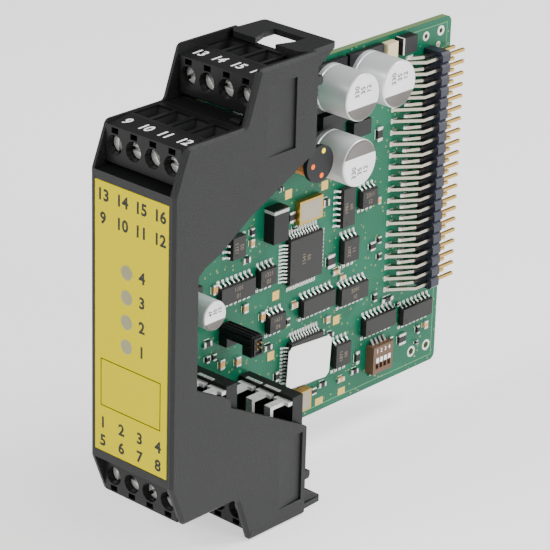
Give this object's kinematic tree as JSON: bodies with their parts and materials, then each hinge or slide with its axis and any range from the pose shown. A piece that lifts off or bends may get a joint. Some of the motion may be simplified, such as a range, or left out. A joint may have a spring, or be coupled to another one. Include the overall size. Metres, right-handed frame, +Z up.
{
  "type": "plug-in safety control module",
  "caption": "Slim plug-in electronics module: a stepped black front cover with stacked screw terminals and a yellow label, and an upright circuit board with a header at its rear edge.",
  "frame": {"origin": "middle of the label's front face, halfway between the two side faces and halfway up the cover", "axes": "+X across the module, from the board's solder side to its component side; +Y rearwards from the label face to the header posts; +Z up, towards terminals 9 to 16"},
  "size_m": [0.0226, 0.0987, 0.099],
  "materials": {
    "cover_plastic": "fine-grained black moulding",
    "label_yellow": "printed film, satin",
    "board_green": "lacquered circuit board",
    "terminal_plastic": "black moulding, glossy number strips",
    "screw_steel": "zinc-plated steel",
    "cage_steel": "plated steel",
    "contact_tin": "tinned copper",
    "header_plastic": "black moulding",
    "post_gold": "gold-plated posts",
    "base_plastic": "black moulding",
    "can_aluminium": "drawn aluminium can",
    "choke_black": "ferrite core with a printed lid",
    "winding_copper": "enamelled copper wire",
    "chip_black": "moulded packages",
    "lead_tin": "tinned leads",
    "chip_part_mixed": "ceramic and resistor chips with tinned ends",
    "power_black": "moulded power parts",
    "crystal_metal": "metal lids",
    "sticker_white": "paper sticker",
    "socket_black": "black moulding",
    "switch_brown": "red-brown moulding",
    "slider_white": "white moulding",
    "lamp_clear": "clear lamp bodies"
  },
  "bodies": {
    "module": {"front_cover": "cover_plastic", "face_label": "label_yellow", "circuit_board": "board_green", "terminal_block_lower_front": "terminal_plastic", "terminal_block_upper_front": "terminal_plastic", "terminal_block_lower_rear": "terminal_plastic", "terminal_block_upper_rear": "terminal_plastic", "contact_bars": "contact_tin", "header_housing": "header_plastic", "header_posts": "post_gold", "capacitor_bases": "base_plastic", "capacitor_cans": "can_aluminium", "choke_core": "choke_black", "choke_winding": "winding_copper", "chip_packages": "chip_black", "chip_leads": "lead_tin", "chip_parts": "chip_part_mixed", "power_parts": "power_black", "crystal_cans": "crystal_metal", "board_sticker": "sticker_white", "plug_socket": "socket_black", "switch_body": "switch_brown", "indicator_lamps": "lamp_clear"},
    "screw_01": {"terminal_screw_01": "screw_steel"},
    "cage_01": {"clamp_cage_01": "cage_steel"},
    "screw_02": {"terminal_screw_02": "screw_steel"},
    "cage_02": {"clamp_cage_02": "cage_steel"},
    "screw_03": {"terminal_screw_03": "screw_steel"},
    "cage_03": {"clamp_cage_03": "cage_steel"},
    "screw_04": {"terminal_screw_04": "screw_steel"},
    "cage_04": {"clamp_cage_04": "cage_steel"},
    "screw_09": {"terminal_screw_09": "screw_steel"},
    "cage_09": {"clamp_cage_09": "cage_steel"},
    "screw_10": {"terminal_screw_10": "screw_steel"},
    "cage_10": {"clamp_cage_10": "cage_steel"},
    "screw_11": {"terminal_screw_11": "screw_steel"},
    "cage_11": {"clamp_cage_11": "cage_steel"},
    "screw_12": {"terminal_screw_12": "screw_steel"},
    "cage_12": {"clamp_cage_12": "cage_steel"},
    "screw_05": {"terminal_screw_05": "screw_steel"},
    "cage_05": {"clamp_cage_05": "cage_steel"},
    "screw_06": {"terminal_screw_06": "screw_steel"},
    "cage_06": {"clamp_cage_06": "cage_steel"},
    "screw_07": {"terminal_screw_07": "screw_steel"},
    "cage_07": {"clamp_cage_07": "cage_steel"},
    "screw_08": {"terminal_screw_08": "screw_steel"},
    "cage_08": {"clamp_cage_08": "cage_steel"},
    "screw_13": {"terminal_screw_13": "screw_steel"},
    "cage_13": {"clamp_cage_13": "cage_steel"},
    "screw_14": {"terminal_screw_14": "screw_steel"},
    "cage_14": {"clamp_cage_14": "cage_steel"},
    "screw_15": {"terminal_screw_15": "screw_steel"},
    "cage_15": {"clamp_cage_15": "cage_steel"},
    "screw_16": {"terminal_screw_16": "screw_steel"},
    "cage_16": {"clamp_cage_16": "cage_steel"},
    "slider_1": {"switch_slider_1": "slider_white"},
    "slider_2": {"switch_slider_2": "slider_white"},
    "slider_3": {"switch_slider_3": "slider_white"},
    "slider_4": {"switch_slider_4": "slider_white"}
  },
  "joints": [
    {"name": "cage_01_travel", "type": "slide", "parent": "module", "child": "cage_01", "axis": [0, -1, 0], "range_m": [0, 0.0024]},
    {"name": "cage_02_travel", "type": "slide", "parent": "module", "child": "cage_02", "axis": [0, -1, 0], "range_m": [0, 0.0024]},
    {"name": "cage_03_travel", "type": "slide", "parent": "module", "child": "cage_03", "axis": [0, -1, 0], "range_m": [0, 0.0024]},
    {"name": "cage_04_travel", "type": "slide", "parent": "module", "child": "cage_04", "axis": [0, -1, 0], "range_m": [0, 0.0024]},
    {"name": "cage_05_travel", "type": "slide", "parent": "module", "child": "cage_05", "axis": [0, -1, 0], "range_m": [0, 0.0024]},
    {"name": "cage_06_travel", "type": "slide", "parent": "module", "child": "cage_06", "axis": [0, -1, 0], "range_m": [0, 0.0024]},
    {"name": "cage_07_travel", "type": "slide", "parent": "module", "child": "cage_07", "axis": [0, -1, 0], "range_m": [0, 0.0024]},
    {"name": "cage_08_travel", "type": "slide", "parent": "module", "child": "cage_08", "axis": [0, -1, 0], "range_m": [0, 0.0024]},
    {"name": "cage_09_travel", "type": "slide", "parent": "module", "child": "cage_09", "axis": [0, -1, 0], "range_m": [0, 0.0024]},
    {"name": "cage_10_travel", "type": "slide", "parent": "module", "child": "cage_10", "axis": [0, -1, 0], "range_m": [0, 0.0024]},
    {"name": "cage_11_travel", "type": "slide", "parent": "module", "child": "cage_11", "axis": [0, -1, 0], "range_m": [0, 0.0024]},
    {"name": "cage_12_travel", "type": "slide", "parent": "module", "child": "cage_12", "axis": [0, -1, 0], "range_m": [0, 0.0024]},
    {"name": "cage_13_travel", "type": "slide", "parent": "module", "child": "cage_13", "axis": [0, -1, 0], "range_m": [0, 0.0024]},
    {"name": "cage_14_travel", "type": "slide", "parent": "module", "child": "cage_14", "axis": [0, -1, 0], "range_m": [0, 0.0024]},
    {"name": "cage_15_travel", "type": "slide", "parent": "module", "child": "cage_15", "axis": [0, -1, 0], "range_m": [0, 0.0024]},
    {"name": "cage_16_travel", "type": "slide", "parent": "module", "child": "cage_16", "axis": [0, -1, 0], "range_m": [0, 0.0024]},
    {"name": "screw_01_turn", "type": "hinge", "parent": "module", "child": "screw_01", "pos_m": [-0.0075, 0.0044, -0.0347], "axis": [0, 1, 0], "range_deg": [0, 1920]},
    {"name": "screw_02_turn", "type": "hinge", "parent": "module", "child": "screw_02", "pos_m": [-0.0025, 0.0044, -0.0347], "axis": [0, 1, 0], "range_deg": [0, 1920]},
    {"name": "screw_03_turn", "type": "hinge", "parent": "module", "child": "screw_03", "pos_m": [0.0025, 0.0044, -0.0347], "axis": [0, 1, 0], "range_deg": [0, 1920]},
    {"name": "screw_04_turn", "type": "hinge", "parent": "module", "child": "screw_04", "pos_m": [0.0075, 0.0044, -0.0347], "axis": [0, 1, 0], "range_deg": [0, 1920]},
    {"name": "screw_05_turn", "type": "hinge", "parent": "module", "child": "screw_05", "pos_m": [-0.0075, 0.0237, -0.04365], "axis": [0, 1, 0], "range_deg": [0, 1920]},
    {"name": "screw_06_turn", "type": "hinge", "parent": "module", "child": "screw_06", "pos_m": [-0.0025, 0.0237, -0.04365], "axis": [0, 1, 0], "range_deg": [0, 1920]},
    {"name": "screw_07_turn", "type": "hinge", "parent": "module", "child": "screw_07", "pos_m": [0.0025, 0.0237, -0.04365], "axis": [0, 1, 0], "range_deg": [0, 1920]},
    {"name": "screw_08_turn", "type": "hinge", "parent": "module", "child": "screw_08", "pos_m": [0.0075, 0.0237, -0.04365], "axis": [0, 1, 0], "range_deg": [0, 1920]},
    {"name": "screw_09_turn", "type": "hinge", "parent": "module", "child": "screw_09", "pos_m": [-0.0075, 0.0044, 0.0347], "axis": [0, 1, 0], "range_deg": [0, 1920]},
    {"name": "screw_10_turn", "type": "hinge", "parent": "module", "child": "screw_10", "pos_m": [-0.0025, 0.0044, 0.0347], "axis": [0, 1, 0], "range_deg": [0, 1920]},
    {"name": "screw_11_turn", "type": "hinge", "parent": "module", "child": "screw_11", "pos_m": [0.0025, 0.0044, 0.0347], "axis": [0, 1, 0], "range_deg": [0, 1920]},
    {"name": "screw_12_turn", "type": "hinge", "parent": "module", "child": "screw_12", "pos_m": [0.0075, 0.0044, 0.0347], "axis": [0, 1, 0], "range_deg": [0, 1920]},
    {"name": "screw_13_turn", "type": "hinge", "parent": "module", "child": "screw_13", "pos_m": [-0.0075, 0.0237, 0.04365], "axis": [0, 1, 0], "range_deg": [0, 1920]},
    {"name": "screw_14_turn", "type": "hinge", "parent": "module", "child": "screw_14", "pos_m": [-0.0025, 0.0237, 0.04365], "axis": [0, 1, 0], "range_deg": [0, 1920]},
    {"name": "screw_15_turn", "type": "hinge", "parent": "module", "child": "screw_15", "pos_m": [0.0025, 0.0237, 0.04365], "axis": [0, 1, 0], "range_deg": [0, 1920]},
    {"name": "screw_16_turn", "type": "hinge", "parent": "module", "child": "screw_16", "pos_m": [0.0075, 0.0237, 0.04365], "axis": [0, 1, 0], "range_deg": [0, 1920]},
    {"name": "slider_1_slide", "type": "slide", "parent": "module", "child": "slider_1", "axis": [0, 0, -1], "range_m": [0, 0.0014]},
    {"name": "slider_2_slide", "type": "slide", "parent": "module", "child": "slider_2", "axis": [0, 0, -1], "range_m": [0, 0.0014]},
    {"name": "slider_3_slide", "type": "slide", "parent": "module", "child": "slider_3", "axis": [0, 0, -1], "range_m": [0, 0.0014]},
    {"name": "slider_4_slide", "type": "slide", "parent": "module", "child": "slider_4", "axis": [0, 0, -1], "range_m": [0, 0.0014]}
  ],
  "couplings": [
    {"joint": "screw_01_turn", "follows": "cage_01_travel", "rad_per_m": 13963},
    {"joint": "screw_02_turn", "follows": "cage_02_travel", "rad_per_m": 13963},
    {"joint": "screw_03_turn", "follows": "cage_03_travel", "rad_per_m": 13963},
    {"joint": "screw_04_turn", "follows": "cage_04_travel", "rad_per_m": 13963},
    {"joint": "screw_05_turn", "follows": "cage_05_travel", "rad_per_m": 13963},
    {"joint": "screw_06_turn", "follows": "cage_06_travel", "rad_per_m": 13963},
    {"joint": "screw_07_turn", "follows": "cage_07_travel", "rad_per_m": 13963},
    {"joint": "screw_08_turn", "follows": "cage_08_travel", "rad_per_m": 13963},
    {"joint": "screw_09_turn", "follows": "cage_09_travel", "rad_per_m": 13963},
    {"joint": "screw_10_turn", "follows": "cage_10_travel", "rad_per_m": 13963},
    {"joint": "screw_11_turn", "follows": "cage_11_travel", "rad_per_m": 13963},
    {"joint": "screw_12_turn", "follows": "cage_12_travel", "rad_per_m": 13963},
    {"joint": "screw_13_turn", "follows": "cage_13_travel", "rad_per_m": 13963},
    {"joint": "screw_14_turn", "follows": "cage_14_travel", "rad_per_m": 13963},
    {"joint": "screw_15_turn", "follows": "cage_15_travel", "rad_per_m": 13963},
    {"joint": "screw_16_turn", "follows": "cage_16_travel", "rad_per_m": 13963}
  ]
}
